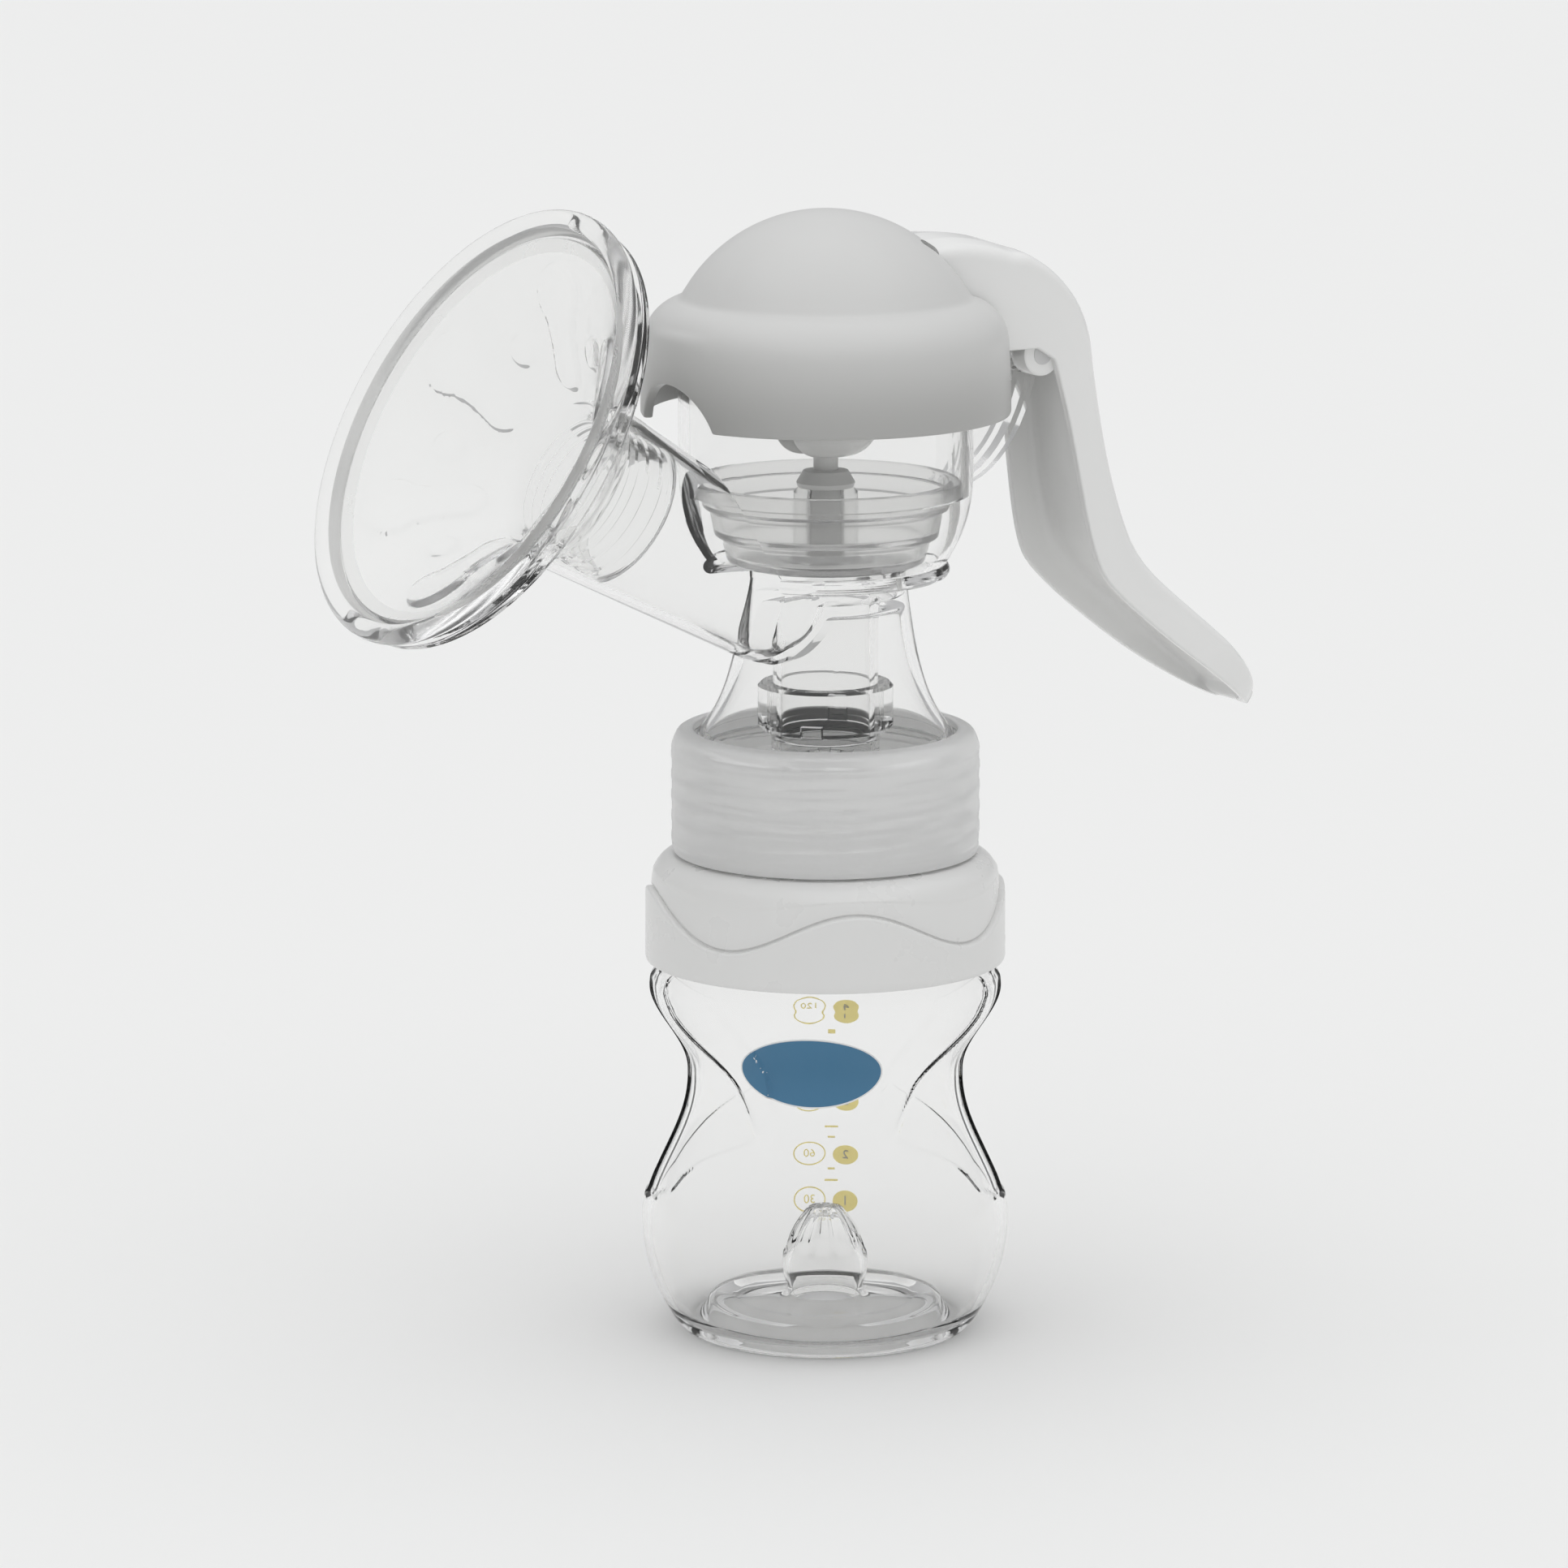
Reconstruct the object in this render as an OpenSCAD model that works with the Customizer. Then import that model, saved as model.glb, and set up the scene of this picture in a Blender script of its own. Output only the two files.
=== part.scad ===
// Manual breast pump standing on its own feeding bottle.
// The origin is on the bottle's axis at the surface it stands on, +Z is up,
// the shield points towards -X and the squeeze handle hangs on the +X side.

/* [Bottle] */
// Largest outer radius, low on the body
bottle_r = 35; // [34.5:0.1:36]
// Outer radius at the waist
waist_r = 26; // [25:0.1:27]
// Outer radius at the shoulder
shoulder_r = 33.4; // [32.5:0.1:34]
// Wall thickness of the bottle
bottle_wall = 1.6; // [1:0.1:1.8]
// Outer radius of the neck
neck_r = 25; // [24.6:0.1:25.2]
// Height of the bottle's rim
bottle_h = 112.2; // [110:0.1:113]

/* [Screw ring] */
// Outer radius of the screw ring
ring_r = 29.5; // [29:0.1:31]
// Height of the top of the screw ring
ring_top = 117.4; // [117:0.1:118]
// Height of the bottom of the screw ring
ring_low = 93.6; // [93.5:0.1:96]

/* [Pump body] */
// Outer radius of the diaphragm chamber
chamber_r = 28; // [27.6:0.1:28.4]
// Outer radius of the outlet tube
outlet_r = 10; // [9.6:0.1:10.2]

/* [Shield] */
// Angle of the shield's axis above the horizontal
shield_tilt = 30.3; // [29:0.1:31]
// Distance from the bottle's axis to the rim of the shield, along the shield's axis
shield_reach = 90.9; // [88:0.1:94]
// Height at which the shield's axis meets the bottle's axis
shield_z = 136.7; // [136:0.1:137.5]
// Outer radius of the cushion's rim
rim_r = 44.3; // [43:0.1:45]
// Radius of the cushion's tunnel
tunnel_r = 11.5; // [11:0.1:12]

/* [Cap] */
// Outer radius of the cap's skirt
cap_r = 35.1; // [34.6:0.1:36]
// Height of the top of the cap
cap_top = 216.6; // [215:0.1:218]
// Height of the cap's lower edge
cap_low = 177.9; // [177:0.1:179]

/* [Handle] */
// Distance of the handle's pivot from the bottle's axis
pivot_x = 42.5; // [42:0.1:43]
// Height of the handle's pivot
pivot_z = 187; // [186.5:0.1:187.5]
// Half of the handle's width at its broad lower end
handle_half = 15.2; // [14:0.1:15.5]
// Wall thickness of the handle's channel
handle_wall = 1.8; // [1.6:0.1:2.2]

/* [Hidden] */
$fn = 96;
EPS = 0.01;

// Bottle heights
belly_z = 18.5;
waist_z = 49.5;
shoulder_z = 67.5;
neck_z = 76;
foot_round = 3;
punt_r = 21.5;
punt_h = 4.4;
floor_z = 6;
crown_h = 15.5;

// Screw ring and collar
ring_bore = 26.8;
ring_lip = 1.6;
collar_low = 72.7;
collar_top = 93.3;
collar_bore = neck_r + 0.05;

// Pump body
flange_z = ring_top - ring_lip - 0.1;
flange_r = 26.4;
seal_t = 1.2;
seal_gap = 0.02;
shelf_z = 141.2;
duct_r = outlet_r - 1.6;
outlet_low = 115;
neck_bore = 13.7;
chamber_low = 146.6;
chamber_top = 186.6;
chamber_bore = chamber_r - 2;
ledge_z = 162.5;

// Shield: the local frame has its origin at the centre of the rim and +Z outwards
rim_x = -shield_reach * cos(shield_tilt);
rim_z = shield_z + shield_reach * sin(shield_tilt);
throat_depth = 22;
cone_slope = 0.68;
tube_end = 88;
mouth_r = 41.2;
lip_w = -4.9;

// Diaphragm and stem
hub_r = 9;
lip_top = 165.2;
post_r = 6.1;
post_top = 163.9;
stem_r = 2.35;

// Handle
pin_r = 2;
pin_bore_r = pin_r + 0.05;
pin_half = 10.3;
arm_half = 7;
lug_half = 5;
fork_r = 10;
slot_half = 3;
slot_end = 2.7;

// Smooth step between two radii over a height, t from 0 to 1
function ease(a, b, t) = a + (b - a) * (1 - cos(180 * t)) / 2;

// Points of a smooth step from [r1, z1] to [r2, z2]
function ease_points(r1, z1, r2, z2, n) =
    [for (i = [0 : n]) [ease(r1, r2, i / n), z1 + (z2 - z1) * i / n]];

// Points of a circular arc from angle a1 to angle a2
function arc_points(c, r, a1, a2, n) =
    [for (i = [0 : n]) let (a = a1 + (a2 - a1) * i / n) c + r * [cos(a), sin(a)]];

// Points of a cubic curve through p0 and p3, pulled towards p1 and p2
function curve_points(p0, p1, p2, p3, n) =
    [for (i = [0 : n]) let (t = i / n, s = 1 - t)
        s * s * s * p0 + 3 * s * s * t * p1 + 3 * s * t * t * p2 + t * t * t * p3];

// Points of the lower belly, which swells out from the foot: inset moves it towards the axis
function belly_points(z_low, inset, n) =
    [for (i = [0 : n])
        let (z = z_low + (belly_z - z_low) * i / n, t = (belly_z - z) / 17)
        [bottle_r - inset - 6.2 * pow(t, 1.8), z]];

// Turns a side outline, drawn as [x, z], into a solid of the given half width
module side_plate(outline, half) {
    rotate([90, 0, 0])
        linear_extrude(height = 2 * half, center = true)
            polygon(outline);
}

// Moves a piece drawn in the shield's own frame into place
module on_shield() {
    translate([rim_x, 0, rim_z])
        rotate([0, shield_tilt - 90, 0])
            children();
}

// ---- bottle -------------------------------------------------------------------------------

// Outside of the bottle, from the foot to the rim
function bottle_outer() = concat(
    arc_points([26, foot_round], foot_round, -90, -35, 4),
    belly_points(2.6, 0, 8),
    ease_points(bottle_r, belly_z + 1, waist_r, waist_z, 12),
    ease_points(waist_r, waist_z + 1, shoulder_r, shoulder_z, 8),
    ease_points(shoulder_r, shoulder_z + 1, neck_r, neck_z, 5));

// Inside of the bottle, from the rim down to the floor
function bottle_inner() = concat(
    [[neck_r - 2, bottle_h], [neck_r - 2, neck_z]],
    [for (p = ease_points(neck_r - 2, neck_z - 1, shoulder_r - bottle_wall, shoulder_z, 5)) p],
    ease_points(shoulder_r - bottle_wall, shoulder_z - 1, waist_r - bottle_wall, waist_z, 8),
    ease_points(waist_r - bottle_wall, waist_z - 1, bottle_r - bottle_wall, belly_z, 12),
    [for (i = [1 : 7]) belly_points(3.4, bottle_wall, 8)[8 - i]],
    [[26.2, 3.2], [24.4, 2.4], [22.6, 3.4], [21.2, floor_z]]);

// Fluted mixing cone, moulded in one with the floor
module crown() {
    flutes = 10;
    translate([0, 0, floor_z - 0.5])
        difference() {
            rotate_extrude()
                polygon([[0, 0], [6.5, 0], [6.5, 0.6], [7.6, 3], [8.2, 5.6], [8, 7.6], [7.4, 8.8],
                    [6.3, 11.4], [4, crown_h + 0.2], [3.6, crown_h + 0.5], [0, crown_h + 0.5]]);
            for (i = [0 : flutes - 1])
                rotate(i * 360 / flutes)
                    translate([7.9, 0, 9.4])
                        rotate([0, -24, 0])
                            cylinder(r = 0.9, h = 9);
        }
}

module bottle() {
    thread_pitch = 4;
    color("whitesmoke", 0.4) {
        rotate_extrude()
            polygon(concat([[punt_r, punt_h], [punt_r + 2, 0]], bottle_outer(),
                [[neck_r, bottle_h]], bottle_inner(), [[0, floor_z], [0, punt_h]]));
        for (i = [0 : 2])
            translate([0, 0, 98 + i * thread_pitch])
                rotate_extrude()
                    polygon([[neck_r - 0.3, -0.9], [neck_r + 1.3, -0.3],
                        [neck_r + 1.3, 0.3], [neck_r - 0.3, 0.9]]);
        crown();
    }
}

// ---- collar and screw ring ----------------------------------------------------------------

module neck_ring() {
    color("gainsboro")
        rotate_extrude()
            polygon([[collar_bore, 91], [collar_bore, collar_top], [29.6, collar_top], [31.6, 91.6],
                [33, 88.4], [33.5, 83.5], [34.2, 83.1], [34.5, 78], [34.5, collar_low],
                [33.7, collar_low], [33.7, 76], [32.6, 84], [30.6, 90.4], [28, 91]]);
}

module screw_ring() {
    color("whitesmoke", 0.6)
        rotate_extrude()
            polygon(concat(
                [[ring_bore, ring_low], [ring_r - 0.5, ring_low], [ring_r, ring_low + 0.5]],
                arc_points([ring_r - 4, ring_top - 4], 4, 0, 80, 6),
                [[ring_r - 4.3, ring_top], [ring_r - 4.3, flange_z + 0.1], [ring_bore, flange_z + 0.1]]));
}

module seal_ring() {
    color("white")
        translate([0, 0, bottle_h + seal_gap])
            difference() {
                cylinder(r = neck_r, h = seal_t - 2 * seal_gap);
                translate([0, 0, -1])
                    cylinder(r = neck_r - 2, h = seal_t + 2);
            }
}

// ---- pump body ----------------------------------------------------------------------------

// Outside of the shield: a thin flared funnel on a slightly tapered tube with a round nose
module shield_shell() {
    on_shield()
        rotate_extrude()
            polygon(concat(
                [[0, -tube_end], [6, -tube_end + 0.4], [9.5, -tube_end + 2.2], [12, -tube_end + 6],
                 [13.2, -76], [16.9, -24.6], [18, -22.8], [41.4, -6.9], [43.4, -6.6], [43.4, lip_w],
                 [mouth_r, lip_w], [38, -7], [0, -7]]));
}

// Hollow of the shield, from the flared mouth to the milk duct
module shield_hollow() {
    bore_r = 15;
    on_shield()
        rotate_extrude()
            polygon([[0, -86], [5, -85.6], [8.3, -83.8], [10.4, -80], [11.5, -74], [bore_r, -24],
                [bore_r, lip_w - (mouth_r - bore_r) * cone_slope], [mouth_r, lip_w], [mouth_r, 5], [0, 5]]);
}

// Space round the bottle's axis: the milk duct and the neck above the shelf
module milk_way() {
    translate([0, 0, 110])
        cylinder(r = duct_r, h = 36);
    translate([0, 0, shelf_z + 1.6])
        cylinder(r = neck_bore, h = 6);
}

// Bell that stands on the bottle, its shelf and the outlet tube
module pump_body() {
    bell_low = bottle_h + seal_t;
    color("white", 0.35)
        difference() {
            rotate_extrude()
                polygon(concat(
                    [[flange_r, bell_low], [flange_r, flange_z], [24.4, flange_z]],
                    curve_points([24.4, 116.8], [19.6, 122], [17.4, 129], [15.5, 145.2], 8),
                    [[15.6, chamber_low], [neck_bore, chamber_low], [neck_bore, shelf_z + 1.6],
                     [duct_r, shelf_z + 1.6], [duct_r, outlet_low], [outlet_r, outlet_low],
                     [outlet_r, shelf_z], [neck_bore + 0.2, shelf_z]],
                    curve_points([neck_bore + 0.2, 140], [15.4, 129], [17.8, 122], [22.4, 116.4], 7),
                    [[22.4, bell_low]]));
            shield_shell();
        }
}

// Outside of the diaphragm chamber, from its floor disc to its rim
function chamber_outer() = concat(
    [[22.4, chamber_low]],
    arc_points([22.1, 148.1], 1.5, -75, 60, 5),
    [[23.4, 150.6], [26.2, 155.6], [27.4, 160], [chamber_r, 165], [chamber_r, 184.2],
     [30.2, 184.2], [30.2, chamber_top]]);

// Cup that holds the diaphragm, with the ledge that its lip sits on
module chamber() {
    color("white", 0.35)
        rotate_extrude()
            polygon(concat([[neck_bore, chamber_low]], chamber_outer(),
                [[chamber_bore, chamber_top], [chamber_bore, ledge_z], [24.4, ledge_z],
                 [23.8, 157.5], [23, 153.5],
                 [21.4, 150.2], [20, 148.5], [neck_bore, 148.4]]));
}

// Everything inside the chamber's outer surface
module chamber_zone() {
    rotate_extrude()
        polygon(concat([[0, chamber_low]], chamber_outer(), [[0, chamber_top]]));
}

// Shield tube and funnel, which run from the milk duct out to the cushion
module shield_funnel() {
    color("white", 0.35)
        difference() {
            shield_shell();
            chamber_zone();
            shield_hollow();
            milk_way();
        }
}

// Bracket on the chamber's wall that carries the handle's pin
module handle_bracket() {
    color("white", 0.35)
        difference() {
            side_plate(concat(
                curve_points([26, 162], [36, 162.5], [42, 172], [44.6, 183.3], 8),
                arc_points([pivot_x, pivot_z], 4.2, -58, 150, 10),
                curve_points([38, 184], [36.5, 177], [32, 176], [26, 175], 5)), lug_half);
            chamber_zone();
            translate([pivot_x, 0, pivot_z])
                rotate([90, 0, 0])
                    cylinder(r = pin_r, h = 3 * lug_half, center = true);
        }
}

// ---- valve --------------------------------------------------------------------------------

module valve_cup() {
    cup_r = 12.9;
    cup_low = 117;
    cup_top = 126.2;
    notch_w = 4;
    hole_r = 2.2;
    seat_z = outlet_low - 4.4;
    color("white", 0.7)
        difference() {
            rotate_extrude()
                polygon([[outlet_r, cup_top], [cup_r - 0.6, cup_top], [cup_r, cup_top - 0.6],
                    [cup_r, cup_low + 1], [cup_r - 0.8, cup_low], [outlet_r + 0.3, cup_low],
                    [outlet_r + 0.3, outlet_low - 3.4], [outlet_r - 1, seat_z], [hole_r, seat_z],
                    [hole_r, outlet_low - 2.8], [outlet_r - 1.4, outlet_low - 2.8],
                    [outlet_r - 1.4, outlet_low], [outlet_r, outlet_low]]);
            for (a = [45 : 90 : 315])
                rotate(a)
                    translate([cup_r, 0, cup_low - EPS])
                        translate([-2, -notch_w / 2, 0])
                            cube([3, notch_w, 2.4]);
            for (a = [0 : 60 : 300])
                rotate(a)
                    translate([4.9, 0, outlet_low - 5])
                        cylinder(r = 1.3, h = 3);
        }
}

module valve_flap() {
    color("white")
        translate([0, 0, outlet_low - 5.5])
            cylinder(r = 7.6, h = 0.8);
}

// ---- diaphragm and stem -------------------------------------------------------------------

module diaphragm() {
    color("white", 0.6)
        rotate_extrude()
            polygon([[hub_r + 0.1, 149], [17.2, 149.2], [18.8, 149.8], [19.8, 154], [21.4, 155],
                [22.2, 159.6], [23.5, 160.4], [24.1, ledge_z + 0.05], [25.8, ledge_z + 0.05],
                [25.8, lip_top], [23.1, lip_top], [22.7, 162.2], [22.2, 161.2], [20.9, 160.4],
                [20.1, 156.2], [18.6, 155], [17.6, 151], [16.4, 150.5], [hub_r + 0.1, 150.4]]);
}

module diaphragm_hub() {
    color("white", 0.8)
        rotate_extrude()
            polygon([[0, 148.9], [hub_r, 149], [hub_r, 150.4], [post_r + 0.9, 150.6], [post_r, 151.6],
                [post_r, post_top - 1], [post_r - 0.9, post_top], [3, post_top], [3, 152], [0, 152]]);
}

module pull_stem() {
    color("silver")
        rotate_extrude()
            polygon([[0, 152], [3, 152], [3, post_top], [5.3, post_top], [5.6, post_top + 0.9],
                [4.3, 167], [stem_r, 167.2], [stem_r, 179.8], [5, 179.8], [5.4, 180.3],
                [5.4, 181.6], [3.8, 183.3], [0, 183.6]]);
}

// ---- handle -------------------------------------------------------------------------------

// Outer line of the handle, from inside the cap, over the top and down to the tip
function handle_back() = concat(
    curve_points([20, 210.2], [33, 211.5], [51, 205], [53.8, 188], 10),
    curve_points([53.9, 187], [55, 178], [56, 163], [61.6, 149.6], 8),
    curve_points([62.2, 148.6], [67, 139], [83, 132], [95, 116.4], 8));

// Inner line of the handle, from the tip back up to the pivot
function handle_front() = concat(
    [[94.6, 114.2], [93, 113.8]],
    curve_points([91.8, 114.5], [83, 119.8], [64, 133], [56, 141.5], 6),
    curve_points([55.4, 142.3], [50, 148], [49.5, 172], [44.4, 186], 7));

// Width of the handle: narrow at the top, broad at the grip, round at the tip
module handle_widths(inset) {
    broad = handle_half - inset;
    // how much narrower than the grip it is at each height
    step = [for (h = [[-182, 3.4], [-174, 2.8], [-166, 2.3], [-156, 1.9], [-148, 1], [-139, 0.2], [-130, 0]])
        [h[0], broad - h[1]]];
    rotate([0, 90, 0])
        linear_extrude(height = 120)
            polygon(concat(
                [[-230, step[0][1]]], step,
                [for (a = [0 : 9 : 180]) [-128.4 + broad * sin(a), broad * cos(a)]],
                [for (i = [1 : len(step)]) [step[len(step) - i][0], -step[len(step) - i][1]]],
                [[-230, -step[0][1]]]));
}

// Short arm inside the cap, from the channel down to the fork
module handle_arm() {
    side_plate([[24, 207], [15, 196.5], [6, 185], [3.5, 178], [6, 174.5], [10, 176.5], [13, 180],
        [24, 188.4], [34, 188.4], [34, 207]], arm_half);
}

// Round fork that takes the neck of the stem: its slot is open towards the shield
module handle_fork() {
    difference() {
        rotate_extrude()
            polygon(concat(
                [[0, 170], [4.4, 170]], arc_points([4, 176], 6, -80, 0, 6), [[fork_r, 178], [0, 178]]));
        translate([slot_end, 0, 160])
            cylinder(r = slot_half, h = 30);
        translate([slot_end - 20, -slot_half, 160])
            cube([20, 2 * slot_half, 30]);
    }
}

module handle() {
    inner_half = 11.8 - handle_wall;
    boss_r = 4.2;
    color("white")
        difference() {
            union() {
                intersection() {
                    difference() {
                        side_plate(concat(handle_back(), handle_front(),
                            [[40.6, 188.4], [22, 188.4], [20, 192]]), handle_half);
                        // channel, open towards the body
                        intersection() {
                            side_plate(concat(
                                curve_points([29, 208.2], [38, 207.5], [49.6, 202], [52, 187.8], 8),
                                curve_points([52.1, 186.8], [53.2, 177], [54.2, 162.5], [59.9, 148.8], 7),
                                curve_points([60.5, 147.6], [65.5, 137.5], [81, 130.6], [92.4, 117], 7),
                                [[89.4, 113], [50, 132], [40, 170], [34, 187], [28, 187], [28, 206]]),
                                handle_half);
                            handle_widths(handle_wall);
                        }
                    }
                    handle_widths(0);
                }
                for (s = [-1, 1])
                    translate([pivot_x, s * (lug_half + 0.5 + inner_half + 0.2) / 2, pivot_z])
                        rotate([90, 0, 0])
                            cylinder(r = boss_r, h = inner_half + 0.2 - lug_half - 0.5, center = true);
                handle_arm();
                handle_fork();
            }
            translate([pivot_x, 0, pivot_z])
                rotate([90, 0, 0])
                    cylinder(r = pin_bore_r, h = 2 * pin_half + 0.2, center = true);
            // room for the lug and for the stem's head
            translate([pivot_x - 9, -lug_half - 0.5, pivot_z - 12])
                cube([14, 2 * lug_half + 1, 17.4]);
            translate([0, 0, 178])
                cylinder(r = 7.4, h = 9);
            translate([slot_end, 0, 160])
                cylinder(r = slot_half, h = 30);
        }
}

module pivot_pin() {
    color("silver")
        translate([pivot_x, 0, pivot_z])
            rotate([90, 0, 0])
                cylinder(r = pin_r, h = 2 * pin_half, center = true);
}

// ---- cap ----------------------------------------------------------------------------------

// Outline of the cap from its lower edge to the top, moved inwards by inset
function cap_outline(inset) = concat(
    [[cap_r - inset, cap_low - (inset > 0 ? 1 : 0)]],
    arc_points([25.8, 191.2], 8.8 - inset, 0, 72, 7),
    [for (i = [0 : 8])
        let (R = 31 - inset, a = 30.6 + (90 - 30.6) * i / 8)
        [R * cos(a), cap_top - 31 + R * sin(a)]]);

module cap() {
    cap_wall = 1.8;
    way_half = 12.4;
    arch_r = 13.5;
    color("lightgray")
        difference() {
            union() {
                rotate_extrude()
                    difference() {
                        polygon(concat(cap_outline(0), [[0, cap_low]]));
                        polygon(concat(cap_outline(cap_wall), [[0, cap_low - 1]]));
                    }
                // rib that rests on the chamber's rim
                difference() {
                    translate([0, 0, chamber_top + 0.05])
                        cylinder(r = 29.8, h = 11.4);
                    translate([0, 0, chamber_top - 1])
                        cylinder(r = 28.4, h = 14);
                }
            }
            // way for the handle, open at the lower edge
            translate([14, -way_half, cap_low - 1])
                cube([30, 2 * way_half, 34]);
            // arch over the shield's tube
            translate([-20, 0, cap_low + 8 - arch_r])
                rotate([0, -90, 0])
                    cylinder(r = arch_r, h = 20);
        }
}

// ---- cushion ------------------------------------------------------------------------------

module cushion() {
    bead_r = 2;
    back_w = -4.66;
    cushion_t = 2;
    color("white", 0.5)
        on_shield()
            rotate_extrude()
                polygon(concat(
                    [[tunnel_r, -40], [tunnel_r, -throat_depth - 0.5]],
                    [[tunnel_r + 0.6, -throat_depth + 0.4], [38.6, -3.6], [40.2, -1.6]],
                    arc_points([rim_r - bead_r, -bead_r], bead_r, 150, -100, 10),
                    [[40.6, back_w], [14, back_w - (40.6 - 14) * cone_slope], [13.4, -24.5], [13.4, -32],
                     [13.9, -32.6], [13.9, -33.6], [13.4, -34.2], [13.3, -38], [13.7, -38.4], [13.7, -39.6],
                     [13.3, -40]]));
}

bottle();
neck_ring();
screw_ring();
seal_ring();
pump_body();
chamber();
shield_funnel();
handle_bracket();
valve_cup();
valve_flap();
diaphragm();
diaphragm_hub();
pull_stem();
handle();
pivot_pin();
cap();
cushion();
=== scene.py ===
"""Manual breast pump on its bottle: the visual model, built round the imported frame.

Lengths in the helpers are millimetres in the CAD frame, and turn into metres when a mesh is made.
"""

import math

import bmesh
import bpy
import numpy as np
from mathutils import Matrix, Vector


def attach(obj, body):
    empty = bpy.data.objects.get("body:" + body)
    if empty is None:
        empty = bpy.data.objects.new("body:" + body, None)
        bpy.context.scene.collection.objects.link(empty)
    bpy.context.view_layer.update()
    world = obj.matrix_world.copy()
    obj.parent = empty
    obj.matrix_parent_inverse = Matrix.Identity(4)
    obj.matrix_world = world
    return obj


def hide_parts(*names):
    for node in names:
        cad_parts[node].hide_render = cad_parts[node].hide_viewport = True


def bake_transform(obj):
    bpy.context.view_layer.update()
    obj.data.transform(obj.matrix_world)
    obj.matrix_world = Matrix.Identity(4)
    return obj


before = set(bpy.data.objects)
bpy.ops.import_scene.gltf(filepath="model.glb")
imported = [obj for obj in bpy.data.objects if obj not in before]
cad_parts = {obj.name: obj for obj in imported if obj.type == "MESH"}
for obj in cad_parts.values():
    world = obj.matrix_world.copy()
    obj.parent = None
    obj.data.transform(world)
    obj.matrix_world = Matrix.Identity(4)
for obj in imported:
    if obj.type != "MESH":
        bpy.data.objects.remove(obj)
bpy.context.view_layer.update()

MM = 0.001
FACING = math.radians(-122.0)  # azimuth that the bottle's front faces
SIDE = 160  # vertices round a turned piece


# ---- outlines --------------------------------------------------------------------------------


def smooth(a, b, x):
    t = np.clip((np.asarray(x, float) - a) / (b - a), 0.0, 1.0)
    return t * t * (3 - 2 * t)


def arc(centre, radius, start, end, n=6):
    return [
        (
            centre[0] + radius * math.cos(math.radians(start + (end - start) * i / n)),
            centre[1] + radius * math.sin(math.radians(start + (end - start) * i / n)),
        )
        for i in range(n + 1)
    ]


def cubic(p0, p1, p2, p3, n=12):
    out = []
    for i in range(n + 1):
        t = i / n
        s = 1 - t
        out.append(
            tuple(
                s**3 * p0[k] + 3 * s * s * t * p1[k] + 3 * s * t * t * p2[k] + t**3 * p3[k]
                for k in (0, 1)
            )
        )
    return out


def fillet(points, radius=0.3, n=3):
    """A closed outline with every corner rounded. A point may carry its own radius as a third number."""
    out = []
    count = len(points)
    for i, p in enumerate(points):
        r = p[2] if len(p) > 2 else radius
        here = Vector(p[:2])
        back = Vector(points[i - 1][:2]) - here
        ahead = Vector(points[(i + 1) % count][:2]) - here
        if here[0] < 1e-6 or r <= 0 or back.length < 1e-6 or ahead.length < 1e-6:
            out.append(tuple(here))
            continue
        half = back.angle(ahead) / 2
        if half > math.radians(87):
            out.append(tuple(here))
            continue
        cut = min(r / math.tan(half), 0.45 * back.length, 0.45 * ahead.length)
        a = here + back.normalized() * cut
        b = here + ahead.normalized() * cut
        for k in range(n + 1):
            t = k / n
            q = a * (1 - t) ** 2 + here * 2 * t * (1 - t) + b * t * t
            out.append(tuple(q))
    return out


def dense(points, step, closed=True):
    """The outline with points added so that no side is longer than step."""
    out = []
    count = len(points) if closed else len(points) - 1
    for i in range(count):
        a, b = Vector(points[i]), Vector(points[(i + 1) % len(points)])
        n = max(1, math.ceil((b - a).length / step))
        out += [tuple(a.lerp(b, k / n)) for k in range(n)]
    return out if closed else out + [tuple(points[-1])]


# ---- meshes ----------------------------------------------------------------------------------


def mesh_object(name, verts, faces, material=None, sharp=32, place=None):
    """An object from vertices in mm, with outward normals and smooth shading up to a sharp angle."""
    mesh = bpy.data.meshes.new(name)
    mesh.from_pydata([tuple(float(c) * MM for c in v) for v in verts], [], faces)
    bm = bmesh.new()
    bm.from_mesh(mesh)
    bmesh.ops.remove_doubles(bm, verts=bm.verts, dist=1e-6)
    bmesh.ops.dissolve_degenerate(bm, edges=bm.edges, dist=1e-7)
    bmesh.ops.recalc_face_normals(bm, faces=bm.faces)
    bm.to_mesh(mesh)
    bm.free()
    if place is not None:
        mesh.transform(place)
    shade(mesh, sharp)
    obj = bpy.data.objects.new(name, mesh)
    bpy.context.scene.collection.objects.link(obj)
    if material:
        mesh.materials.append(material)
    return obj


def shade(mesh, sharp):
    mesh.polygons.foreach_set("use_smooth", [True] * len(mesh.polygons))
    mesh.set_sharp_from_angle(angle=math.radians(sharp))


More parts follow.
